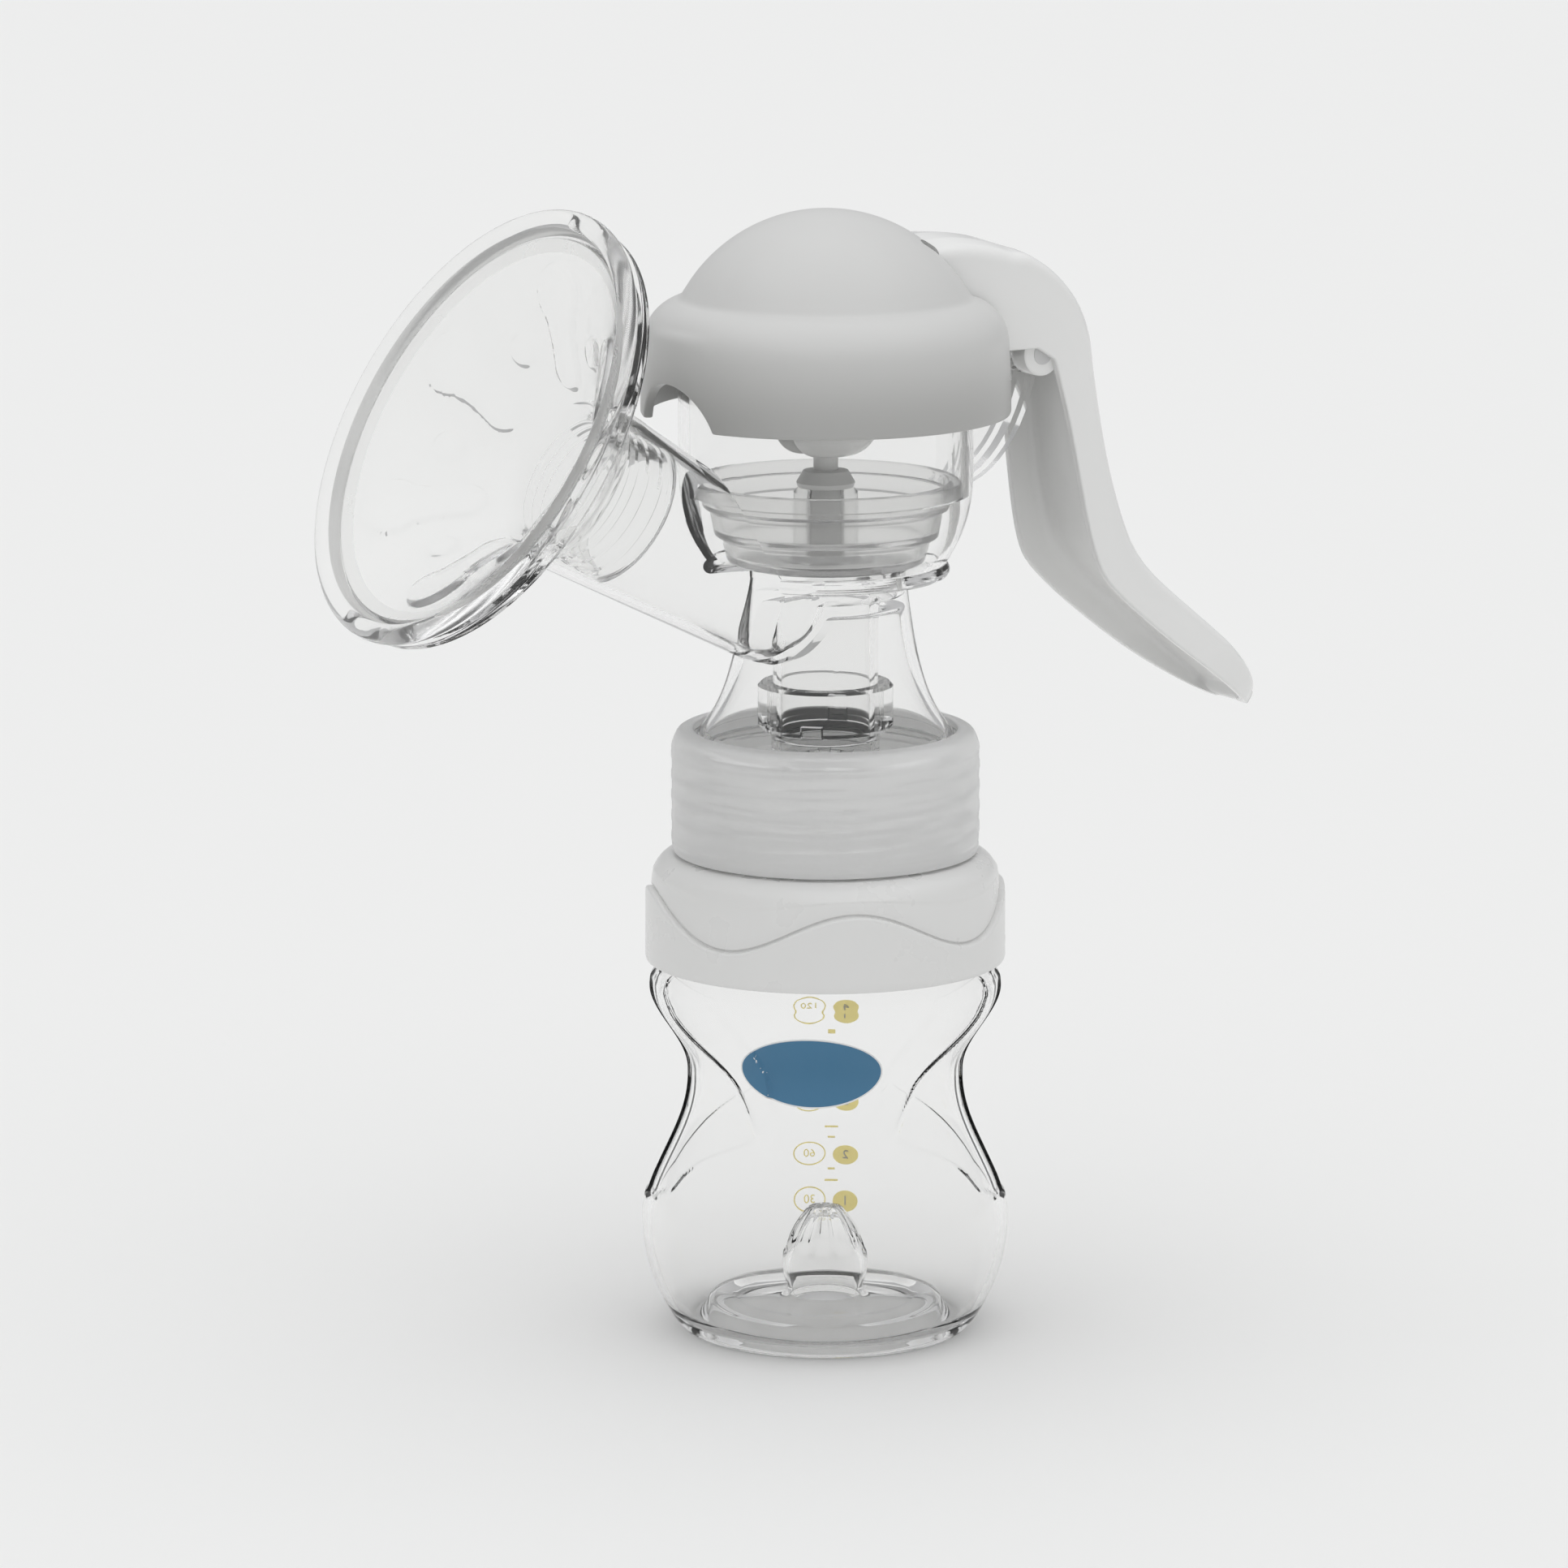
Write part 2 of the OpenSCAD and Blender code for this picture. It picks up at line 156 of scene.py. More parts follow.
def turned(profile, angles=None, warp=None):
    """(vertices, faces) of an outline of (radius, height) turned about Z. warp(r, z, a) moves the points."""
    if angles is None:
        angles = np.arange(SIDE) * 2 * math.pi / SIDE
    prof = np.array([p[:2] for p in profile], float)
    count, sides = len(prof), len(angles)
    r = np.repeat(prof[:, :1], sides, 1)
    z = np.repeat(prof[:, 1:], sides, 1)
    a = np.repeat(np.asarray(angles, float)[None, :], count, 0)
    if warp:
        r, z = warp(r, z, a)
    x, y = r * np.cos(a), r * np.sin(a)
    verts, rows = [], []
    for i in range(count):
        if prof[i, 0] < 1e-6:
            rows.append([len(verts)] * sides)
            verts.append((0.0, 0.0, z[i, 0]))
        else:
            rows.append(list(range(len(verts), len(verts) + sides)))
            verts += list(zip(x[i], y[i], z[i]))
    faces = []
    for i in range(count):
        p, q = rows[i], rows[(i + 1) % count]
        for k in range(sides):
            m = (k + 1) % sides
            face = []
            for v in (p[k], p[m], q[m], q[k]):
                if v not in face:
                    face.append(v)
            if len(face) > 2:
                faces.append(face)
    return verts, faces


def lathe(name, profile, material=None, sharp=32, angles=None, warp=None, place=None):
    return mesh_object(name, *turned(profile, angles, warp), material, sharp, place)


def plate(name, outline, half, material=None):
    """A side outline of (x, z) as a plate of the given half width across Y."""
    n = len(outline)
    verts = [(x, -half, z) for x, z in outline] + [(x, half, z) for x, z in outline]
    faces = [list(range(n)), list(range(2 * n - 1, n - 1, -1))]
    faces += [[i, (i + 1) % n, n + (i + 1) % n, n + i] for i in range(n)]
    return mesh_object(name, verts, faces, material)


def settle(obj):
    """Applies an object's modifiers."""
    graph = bpy.context.evaluated_depsgraph_get()
    mesh = bpy.data.meshes.new_from_object(obj.evaluated_get(graph))
    obj.modifiers.clear()
    obj.data = mesh


def combine(obj, other, operation):
    """Joins or cuts with another closed mesh, which is used up."""
    mod = obj.modifiers.new("with", "BOOLEAN")
    mod.operation = operation
    mod.object = other
    mod.solver = "MANIFOLD"
    settle(obj)
    bpy.data.objects.remove(other)


def bevel(obj, width, segments=2, angle=40):
    mod = obj.modifiers.new("bevel", "BEVEL")
    mod.width = width * MM
    mod.segments = segments
    mod.limit_method = "ANGLE"
    mod.angle_limit = math.radians(angle)
    mod.use_clamp_overlap = True
    settle(obj)


def place_piece(obj, body, nodes=()):
    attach(obj, body)
    if nodes:
        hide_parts(*nodes)
    return obj


# ---- materials -------------------------------------------------------------------------------


def plastic(
    name,
    colour,
    rough,
    clear=0.0,
    ior=1.46,
    vary=0.02,
    rough_vary=0.05,
    grain=0.0,
    grain_scale=1400,
    ripple=0.0,
    ripple_scale=45,
    under=0.0,
    # fade: painted shade, a darker colour below a height, given as (colour, from height, to height) in metres
    fade=None,
):
    """Moulded plastic or silicone: colour and roughness that vary a little, fine grain and slow ripples, and
    with fade a painted shade that darkens the colour below a height.
    """
    mat = bpy.data.materials.new(name)
    mat.use_nodes = True
    nodes, links = mat.node_tree.nodes, mat.node_tree.links
    shader = next(n for n in nodes if n.type == "BSDF_PRINCIPLED")
    shader.inputs["Transmission Weight"].default_value = clear
    shader.inputs["IOR"].default_value = ior
    if under:
        shader.inputs["Subsurface Weight"].default_value = under
        shader.inputs["Subsurface Radius"].default_value = (0.004, 0.004, 0.004)
        shader.inputs["Subsurface Scale"].default_value = 1.0
    where = nodes.new("ShaderNodeTexCoord")

    def noise(scale, detail):
        n = nodes.new("ShaderNodeTexNoise")
        n.inputs["Scale"].default_value = scale
        n.inputs["Detail"].default_value = detail
        links.new(where.outputs["Object"], n.inputs["Vector"])
        return n.outputs["Fac"]

    broad = noise(38, 3)
    tint = nodes.new("ShaderNodeMix")
    tint.data_type = "RGBA"
    dark = [c * (1 - vary) for c in colour]
    light = [min(1.0, c * (1 + vary)) for c in colour]
    tint.inputs["A"].default_value = (*dark, 1)
    tint.inputs["B"].default_value = (*light, 1)
    links.new(broad, tint.inputs["Factor"])
    colour_out = tint.outputs["Result"]
    # Painted shade: the colour darkens towards fade's colour below the given heights, standing in for light
    # falling off down a part.
    if fade:
        split = nodes.new("ShaderNodeSeparateXYZ")
        links.new(where.outputs["Object"], split.inputs["Vector"])
        painted_shade_height = nodes.new("ShaderNodeMapRange")
        painted_shade_height.interpolation_type = "SMOOTHSTEP"
        painted_shade_height.inputs["From Min"].default_value = fade[1]
        painted_shade_height.inputs["From Max"].default_value = fade[2]
        links.new(split.outputs["Z"], painted_shade_height.inputs["Value"])
        painted_shade_mix = nodes.new("ShaderNodeMix")
        painted_shade_mix.data_type = "RGBA"
        painted_shade_mix.inputs["A"].default_value = (*fade[0], 1)
        links.new(painted_shade_height.outputs["Result"], painted_shade_mix.inputs["Factor"])
        links.new(colour_out, painted_shade_mix.inputs["B"])
        colour_out = painted_shade_mix.outputs["Result"]
    links.new(colour_out, shader.inputs["Base Color"])
    spread = nodes.new("ShaderNodeMapRange")
    spread.inputs["To Min"].default_value = max(0.0, rough - rough_vary)
    spread.inputs["To Max"].default_value = rough + rough_vary
    links.new(noise(120, 4), spread.inputs["Value"])
    links.new(spread.outputs["Result"], shader.inputs["Roughness"])
    last = None
    for amount, scale, reach in ((grain, grain_scale, 0.00005), (ripple, ripple_scale, 0.0006)):
        if amount:
            bump = nodes.new("ShaderNodeBump")
            bump.inputs["Strength"].default_value = amount
            bump.inputs["Distance"].default_value = reach
            links.new(noise(scale, 2), bump.inputs["Height"])
            if last:
                links.new(last, bump.inputs["Normal"])
            last = bump.outputs["Normal"]
    if last:
        links.new(last, shader.inputs["Normal"])
    return mat


bottle_clear = plastic("bottle_clear", (0.996, 0.996, 0.994), 0.03, 0.995, 1.13, 0.002, 0.02, ripple=0.1)
body_clear = plastic("body_clear", (0.994, 0.994, 0.992), 0.05, 0.98, 1.11, 0.003, 0.03, ripple=0.15)
cushion_clear = plastic("cushion_clear", (0.992, 0.992, 0.988), 0.08, 0.94, 1.13, 0.004, 0.03, grain=0.04,
                        ripple=0.12)
rim_frost = plastic("rim_frost", (0.62, 0.62, 0.61), 0.4, 0.7, 1.2, 0.3, 0.15, grain=0.8, grain_scale=2600)
rim_haze = plastic("rim_haze", (0.9, 0.9, 0.89), 0.3, 0.85, 1.2, 0.05, 0.12, grain=0.3, grain_scale=2600)
ring_frost = plastic("ring_frost", (0.985, 0.985, 0.98), 0.3, 0.55, 1.15, 0.01, 0.05, grain=0.06)
milky = plastic("milky_silicone", (0.99, 0.99, 0.985), 0.2, 0.88, 1.18, 0.006, 0.05, grain=0.05)
collar_white = plastic("collar_white", (0.76, 0.76, 0.75), 0.28, 0, 1.46, 0.003, 0.03, grain=0.03)
# Painted shade: the cap's grey darkens from 197 mm down to 179 mm towards its lower edge, standing in for top
# light falling off down the skirt; the inner rib shares it.
cap_grey_painted_shade = plastic("cap_grey_painted_shade", (0.63, 0.63, 0.62), 0.36, 0, 1.46, 0.012, 0.05, grain=0.18, grain_scale=2200,
                   fade=((0.42, 0.42, 0.41), 0.179, 0.197))
handle_white = plastic("handle_white", (0.82, 0.82, 0.81), 0.16, 0, 1.5, 0.01, 0.05, ripple=0.05)
stem_grey = plastic("stem_grey", (0.74, 0.74, 0.73), 0.35, 0.0, 1.46, 0.02, 0.05, grain=0.1)
steel_pin = plastic("pin_grey", (0.6, 0.6, 0.6), 0.3, 0, 1.46, 0.02, 0.05, grain=0.1)
badge_blue = plastic("badge_blue", (0.058, 0.19, 0.33), 0.35, 0, 1.46, 0.03, 0.05, grain=0.1)
badge_edge = plastic("badge_edge", (0.9, 0.9, 0.89), 0.35, 0, 1.46, 0.01, 0.05, grain=0.1)
mark_yellow = plastic("mark_yellow", (0.97, 0.86, 0.4), 0.6, 0.75, 1.05, 0.03, 0.05, grain=0.2)


# ---- bottle ----------------------------------------------------------------------------------

BELLY_Z, WAIST_Z, SHOULDER_Z, NECK_Z = 18.5, 49.5, 67.5, 76.0
BELLY_R, WAIST_R, SHOULDER_R, NECK_R = 35.0, 26.0, 33.4, 25.0
BOTTLE_WALL = 1.6


def bottle_radius(z):
    """Radius of the bottle's outside at a height, without its grip."""
    z = np.asarray(z, float)
    belly = BELLY_R - 6.2 * np.clip((BELLY_Z - z) / 17, 0, 1) ** 1.8

    def step(r1, z1, r2, z2):
        t = np.clip((z - z1) / (z2 - z1), 0, 1)
        return r1 + (r2 - r1) * (1 - np.cos(math.pi * t)) / 2

    r = np.where(z < BELLY_Z, belly, step(BELLY_R, BELLY_Z + 1, WAIST_R, WAIST_Z))
    r = np.where(z > WAIST_Z + 1, step(WAIST_R, WAIST_Z + 1, SHOULDER_R, SHOULDER_Z), r)
    return np.where(z > SHOULDER_Z + 1, step(SHOULDER_R, SHOULDER_Z + 1, NECK_R, NECK_Z), r)


def inside_by(outline, u, v):
    """Distance of points (u, v) inside a closed outline, negative outside."""
    best = np.full(u.shape, 1e9)
    odd = np.zeros(u.shape, bool)
    for i, (x1, y1) in enumerate(outline):
        x2, y2 = outline[(i + 1) % len(outline)]
        dx, dy = x2 - x1, y2 - y1
        t = np.clip(((u - x1) * dx + (v - y1) * dy) / (dx * dx + dy * dy), 0, 1)
        best = np.minimum(best, np.hypot(u - x1 - t * dx, v - y1 - t * dy))
        if dy:
            crosses = ((y1 > v) != (y2 > v)) & (u < (v - y1) / dy * dx + x1)
            odd ^= crosses
    return np.where(odd, best, -best)


# The grip, as outlines of (degrees from the front, height). It is the same on both sides of the
# front and of the back: a leaf that runs down from the shoulder, and a recess for the fingers.
DEGREE = 0.48  # mm of girth for a degree at the waist
LEAF_TOP = cubic((50, 76), (36, 67), (21, 62), (23, 51), 8) + cubic((22.5, 50), (17, 46), (19, 45),
                                        (23, 39.5), 5)
LEAF_LOW = cubic((23, 39.5), (34, 48), (48, 57), (68, 68), 8) + [(74, 76)]
RECESS = (
    cubic((29, 42.5), (36, 39.5), (58, 38), (66, 29.5), 8)
    + [(80, 26.5), (100, 26), (100, 78), (76, 78)]
    + [(a + 2.5, z) for a, z in reversed(LEAF_LOW[1:])]
)


def scaled(outline):
    return [(a * DEGREE, z) for a, z in outline]


def grip(z, a):
    """How far the bottle's outside stands out at (height, azimuth)."""
    turn = np.abs((np.degrees(a - FACING) + 180) % 360 - 180)
    side = np.where(turn > 90, 180 - turn, turn) * DEGREE
    body = 0.8 * smooth(15, 28, z) * (1 - smooth(65, 73, z))
    recess = smooth(-0.3, 0.35, inside_by(scaled(RECESS), side, z))
    leaf = smooth(-0.25, 0.3, inside_by(scaled(LEAF_TOP[:-1] + LEAF_LOW), side, z))
    low = smooth(26, 20, z)
    fade = 1 - smooth(66, 74, z)
    depth = np.where(turn > 90, 0.35, 1.0)
    return body * (1 - recess * depth) + (0.75 * leaf - 0.25 * recess * (1 - low)) * fade * depth


THREAD_PITCH = 4.0


def ridge(z, a, first, turns, height, width, hand=1.0):
    """Height of a screw thread that starts at height first."""
    out = np.zeros(z.shape)
    turn = np.mod(a, 2 * math.pi) / (2 * math.pi)
    for k in range(math.ceil(turns) + 1):
        along = turn + k
        centre = first + hand * THREAD_PITCH * along
        ends = smooth(0.0, 0.08, along) * (1 - smooth(turns - 0.08, turns, along))
        out = np.maximum(out, ends * (1 - smooth(0.25 * width, 0.5 * width, np.abs(z - centre))))
    return height * out


def bottle_outline():
    """The bottle's section, from the top of the crown's hollow round to the top of the crown."""
    under = [(0, 21.4), (2.2, 21.3), (3.0, 20.6), (5.2, 17.2), (6.7, 13), (6.9, 10.5), (6.2, 7.4),
             (7.2, 5.2), (8.8, 4.4)]
    under += [(20.9, 4.4), (21.9, 3.7), (22.6, 1.0), (23.4, 0.15), (24.4, 0)]
    outside = arc((26, 3), 3, -88, -35, 6)
    outside += [(float(bottle_radius(z)), z) for z in np.arange(2.6, 76.0, 0.42)]
    outside += [(NECK_R, z) for z in np.arange(76.2, 95.0, 1.4)]
    outside += [(NECK_R, z) for z in np.arange(95.2, 110.6, 0.28)]
    rim = arc((24.5, 111.7), 0.5, 0, 90, 4) + arc((23.5, 111.7), 0.5, 90, 180, 4)
    inner = [(23.0, z) for z in np.arange(109.0, 77.0, -2.0)]
    inner += [
        (float(bottle_radius(z)) - BOTTLE_WALL - 0.5 * float(smooth(67, 76, z)), z)
        for z in np.arange(75.6, 4.4, -0.7)
    ]
    inner += [(26.4, 3.2), (25.2, 2.4), (24.2, 2.5), (23.3, 3.4), (22.3, 5.4), (21.2, 6.1), (19.6, 6.2)]
    inner += [(17.6, 6.2), (17.0, 5.75), (16.2, 5.7)]
    crown = [(8.2, 5.8), (7.2, 6.3), (7.3, 7.6), (8.1, 10.2), (8.2, 12.6), (8.05, 14.4), (7.75, 14.9)]
    crown += cubic((7.6, 15.1), (6.9, 18.0), (5.2, 20.6), (3.5, 22.7), 9) + [(3.1, 23.0), (0, 23.0)]
    return under + outside + rim + inner + crown


def bottle_warp(r, z, a):
    count = len(r)
    base = r[:, 0]
    height = z[:, 0]
    outside = np.zeros(count, bool)
    inside = np.zeros(count, bool)
    inside_now = False
    for i in range(count):
        if height[i] > 111.9:
            inside_now = True
        if base[i] > 22.4 and 3.0 < height[i] < 111.0:
            (inside if inside_now else outside)[i] = True
    out = r.copy()
    out[outside] += grip(z[outside], a[outside]) + ridge(z[outside], a[outside], 96.6, 2.6, 1.25, 2.4)
    out[inside] += 0.5 * grip(z[inside], a[inside])
    fluted = (height > 14.95) & (height < 22.9) & (base > 3.0) & (base < 7.7) & inside_now
    fluted &= np.arange(count) > count // 2
    wave = 0.5 + 0.5 * np.cos(10 * a[fluted])
    depth = 0.85 * smooth(15.0, 16.4, z[fluted])
    out[fluted] -= depth * smooth(0.55, 0.95, wave)
    return out, z


bottle = lathe("bottle_wall", bottle_outline(), bottle_clear, 50, np.arange(400) * 2 * math.pi / 400,
               bottle_warp)
place_piece(bottle, "bottle", ["bottle"])


def on_bottle(obj, turn, material, lift=0.05, thick=0.12):
    """Wraps a flat drawing of (girth, height) in mm round the bottle at an azimuth, as a thin print."""
    bm = bmesh.new()
    bm.from_mesh(obj.data)
    bmesh.ops.triangulate(bm, faces=bm.faces)
    for _ in range(4):
        long = [e for e in bm.edges if e.calc_length() > 1.1]
        if not long:
            break
        bmesh.ops.subdivide_edges(bm, edges=long, cuts=1)
        bmesh.ops.triangulate(bm, faces=bm.faces)
    co = np.array([v.co for v in bm.verts])
    a = turn + co[:, 0] / bottle_radius(co[:, 1])
    base = bottle_radius(co[:, 1]) + grip(co[:, 1], a)
    layers = []
    for extra in (lift, lift + thick):
        r = base + extra
        layers += [(r[i] * math.cos(a[i]), r[i] * math.sin(a[i]), co[i, 1]) for i in range(len(co))]
    n = len(co)
    faces = []
    for f in bm.faces:
        ids = [v.index for v in f.verts]
        faces += [ids, [i + n for i in reversed(ids)]]
    for e in bm.edges:
        if len(e.link_faces) == 1:
            i, j = (v.index for v in e.verts)
            faces.append([i, j, j + n, i + n])
    bm.free()
    name = obj.name
    bpy.data.objects.remove(obj)
    out = mesh_object(name, layers, faces, material, 40)
    place_piece(out, "bottle")
    return out


def flat_shape(name, loops):
    """A flat face from an outline, or a band between two outlines, in (girth, height)."""
    verts = [(x, y, 0) for loop in loops for x, y in loop]
    n = len(loops[0])
    if len(loops) == 1:
        faces = [list(range(n))]
    else:
        faces = [[i, (i + 1) % n, n + (i + 1) % n, n + i] for i in range(n)]
    mesh = bpy.data.meshes.new(name)
    mesh.from_pydata(verts, [], faces)
    obj = bpy.data.objects.new(name, mesh)
    bpy.context.scene.collection.objects.link(obj)
    return obj


def oval(cx, cy, rx, ry, n=40):
    return [
        (cx + rx * math.cos(2 * math.pi * i / n), cy + ry * math.sin(2 * math.pi * i / n))
        for i in range(n)
    ]


def number(name, text, x, y, size):
    """Figures of a measuring scale as a flat mesh centred on (x, y)."""
    curve = bpy.data.curves.new(name, "FONT")
    curve.body = text
    curve.size = size
    curve.align_x = "CENTER"
    curve.align_y = "CENTER"
    source = bpy.data.objects.new(name, curve)
    bpy.context.scene.collection.objects.link(source)
    graph = bpy.context.evaluated_depsgraph_get()
    mesh = bpy.data.meshes.new_from_object(source.evaluated_get(graph))
    bpy.data.objects.remove(source)
    mesh.transform(Matrix.Translation((x, y, 0)))
    obj = bpy.data.objects.new(name, mesh)
    bpy.context.scene.collection.objects.link(obj)
    return obj


# Plain oval badge on the front
badge_turn = FACING - math.radians(5.5)
on_bottle(flat_shape("badge_edge", [oval(0, 56.4, 13.3, 7.5, 72)]), badge_turn, badge_edge, 0.05, 0.1)
on_bottle(flat_shape("badge", [oval(0, 56.4, 12.95, 7.15, 72)]), badge_turn, badge_blue, 0.16, 0.1)

# Measuring scale on the back
scale_turn = FACING + math.pi
for ml, oz, z in (("120", "4", 54.6), ("90", "3", 37.4), ("60", "2", 25.2), ("30", "1", 15.6)):
    on_bottle(flat_shape("scale_ring_" + ml, [oval(2.9, z, 3.2, 2.6), oval(2.9, z, 2.95, 2.35)]),
              scale_turn, mark_yellow)
    on_bottle(number("scale_ml_" + ml, ml, 2.9, z, 2.4), scale_turn, mark_yellow)
    on_bottle(number("scale_oz_in_" + oz, oz, -4.2, z - 0.3, 2.6), scale_turn, badge_edge, 0.02, 0.04)
    on_bottle(flat_shape("scale_dot_" + oz, [oval(-4.2, z - 0.3, 2.5, 2.1)]), scale_turn, mark_yellow, 0.08)
    on_bottle(number("scale_oz_out_" + oz, oz, -4.2, z - 0.3, 2.6), scale_turn, badge_edge, 0.22, 0.06)
for k, (z, half) in enumerate(((51.0, 0.7), (46.5, 1.3), (42.5, 0.7), (31.3, 1.3), (28.9, 0.7),
                               (21.9, 0.7), (19.5, 1.3))):
    bar = [(-1.4 - half, z - 0.2), (-1.4 + half, z - 0.2), (-1.4 + half, z + 0.2), (-1.4 - half, z + 0.2)]
    on_bottle(flat_shape("scale_bar_%d" % k, [bar]), scale_turn, mark_yellow)


# ---- collar and screw ring -------------------------------------------------------------------


def collar_warp(r, z, a):
    wave = 4.0 * np.cos(4 * (a - FACING - math.radians(9.5)))
    share = np.interp(z, (72.9, 82.4, 84.4, 90.6), (0.0, 1.0, 1.0, 0.0))
    return r, np.where(r > 32.35, z + wave * share, z)


collar_outside = [(33.6, 72.7), (34.35, 72.8), (34.5, 73.2)]
collar_outside += [(34.5 - 0.06 * (z - 74) / 8, z) for z in np.arange(74.2, 82.8, 0.7)]
collar_outside += [(34.4, 82.85), (34.34, 83.05), (34.18, 83.2), (33.75, 83.3), (33.1, 83.3),
                   (32.95, 83.5), (33.05, 83.75), (33.3, 83.85)]
collar_outside += [(33.32 - 0.0021 * (z - 80) ** 3 / 4, z) for z in np.arange(84.1, 88.9, 0.4)]
collar_outside += [(x, z) for x, z in arc((28.6, 88.7), 4.4, 4, 90, 14)]
collar_profile = collar_outside + [(25.35, 93.2), (25.05, 92.9), (25.05, 91.2), (25.4, 90.9)]
collar_profile += [(28.0, 90.9), (30.2, 89.8), (31.5, 86), (31.8, 80), (31.9, 73.1), (32.3, 72.75)]
collar = lathe("collar", collar_profile, collar_white, 50, np.arange(320) * 2 * math.pi / 320, collar_warp)
place_piece(collar, "bottle", ["neck_ring"])


def ring_warp(r, z, a):
    inner = (r < 27.6) & (z < 115.0) & (z > 94.2)
    thread = ridge(z, a, 94.7, 4.7, 1.1, 2.2)
    outer = (r > 29.3) & (z > 95.2) & (z < 113.5)
    return np.where(inner, r - thread, np.where(outer, r - 0.16 + 0.13 * thread, r)), z


ring_profile = dense(
    fillet(
        [
            (27.1, 93.6),
            (29.1, 93.6, 0.5),
            (29.5, 96, 2.0),
            (29.5, 114.0, 6.0),
            (28.3, 117.0, 3.0),
            (26.0, 117.4, 0.8),
            (25.2, 117.3, 0.4),
            (25.2, 115.9, 0.3),
            (26.8, 115.8, 0.3),
        ],
        0.3,
        6,
    ),
    0.5,
)
ring = lathe("screw_ring", ring_profile, ring_frost, 40, np.arange(256) * 2 * math.pi / 256, ring_warp)
place_piece(ring, "ring", ["screw_ring"])


# ---- clear head ------------------------------------------------------------------------------

SHIELD_TILT = math.radians(30.3)
SHIELD_REACH = 90.9
RIM_CENTRE = Vector((-SHIELD_REACH * math.cos(SHIELD_TILT), 0, 136.7 + SHIELD_REACH * math.sin(SHIELD_TILT)))
SHIELD = Matrix.Translation(RIM_CENTRE * MM) @ Matrix.Rotation(SHIELD_TILT - math.pi / 2, 4, "Y")
CONE = 0.68
LIP_W = -4.9

bell_outer = [(26.3, 113.5, 0.2), (26.3, 115.6, 0.2), (24.5, 115.8, 0.3)]
bell_outer += cubic((24.4, 116.8), (19.6, 122), (17.4, 129), (15.5, 145.2), 16)
bell_outer += [(15.5, 147.4)]
bell_inner = [(13.8, 147.4), (13.8, 142.9, 0.6), (9.6, 142.9, 0.4), (8.4, 142.6, 0.4), (8.4, 115.2, 0.3),
              (9.9, 115.0, 0.4)]
bell_inner += [(10.0, 118, 0.3), (10.0, 140.6, 1.2), (13.6, 140.6, 1.0)]
bell_inner += cubic((14.0, 139), (15.4, 129), (17.8, 122), (22.4, 116.4), 14) + [(22.6, 113.5, 0.2)]
head = lathe("pump_body", fillet(bell_outer + bell_inner, 0.25), None, 35, np.arange(128) * 2 * math.pi / 128)

chamber_profile = [(13.7, 146.7, 0.2), (22.2, 146.6, 0.4)]
chamber_profile += arc((22.1, 148.1), 1.5, -75, 60, 7)
chamber_profile += cubic((23.2, 149.8), (25.6, 154.0), (27.6, 157.6), (28, 165), 10)
chamber_profile += [(28, 183.9, 0.4), (30.1, 184.3, 0.3), (30.2, 186.5, 0.4), (26, 186.6, 0.3),
                    (26, 162.5, 0.3), (24.3, 162.5, 0.3)]
chamber_profile += cubic((24.1, 159.5), (23.5, 154), (22.0, 150.8), (19.6, 148.5), 8) + [(13.7, 148.4, 0.2)]
chamber = lathe("chamber", fillet(chamber_profile, 0.25), None, 35, np.arange(128) * 2 * math.pi / 128)
combine(head, chamber, "UNION")

shell_profile = [(0, -88), (5, -87.75), (9.2, -86), (11.8, -82.4), (13.1, -77), (13.4, -73)]
shell_profile += [(16.9, -25.4, 1.0), (18.2, -23.2, 1.5), (41.2, -7.1, 1.0), (43.1, -6.9, 0.7),
                  (43.3, -5.2, 0.5)]
shell_profile += [(43.2, LIP_W, 0.3), (0, LIP_W)]
shell = lathe("shell", fillet(shell_profile, 0.8, 4), None, 35, np.arange(160) * 2 * math.pi / 160,
              place=SHIELD)
combine(head, shell, "UNION")

bracket_side = cubic((25, 161.5), (36, 162.5), (42, 172), (44.6, 183.3), 12)
bracket_side += arc((42.5, 187), 4.2, -58, 150, 12)
bracket_side += cubic((38, 184), (36.5, 177), (32, 176), (25, 175), 8)
bracket = plate("bracket", bracket_side, 1.4)
combine(head, bracket, "UNION")
for side in (-1, 1):
    rib = plate("rib", bracket_side, 0.9)
    for v in rib.data.vertices:
        v.co.y += side * 4.1 * MM
    combine(head, rib, "UNION")
lug = lathe("lug", fillet([(2.0, -5), (4.2, -5), (4.2, 5), (2.0, 5)], 0.5), None, 35,
            np.arange(48) * 2 * math.pi / 48,
            place=Matrix.Translation((0.0425, 0, 0.187)) @ Matrix.Rotation(math.pi / 2, 4, "X"))
combine(head, lug, "UNION")

hollow_profile = [(0, -86), (5, -85.5), (8.4, -83.4), (10.4, -80), (11.4, -75), (15, -24),
                  (15, LIP_W - 26.2 * CONE)]
hollow_profile += [(41.2, LIP_W), (41.4, LIP_W + 0.2), (41.4, 6), (0, 6)]
hollow = lathe("hollow", hollow_profile, None, 35, np.arange(160) * 2 * math.pi / 160, place=SHIELD)
duct = lathe("duct", [(0, 113), (8.4, 113), (8.4, 145), (0, 145)], None, 35, np.arange(96) * 2 * math.pi / 96)
inside_chamber = [(0, 143.0), (13.7, 143.0), (13.7, 148.4), (19.6, 148.5)]
inside_chamber += cubic((19.6, 148.5), (22.0, 150.8), (23.5, 154), (24.1, 159.5), 8)[1:]
inside_chamber += [(24.3, 162.5), (26, 162.5), (26, 190), (0, 190)]
room = lathe("room", inside_chamber, None, 35, np.arange(128) * 2 * math.pi / 128)
for cutter in (hollow, duct, room):
    combine(head, cutter, "DIFFERENCE")
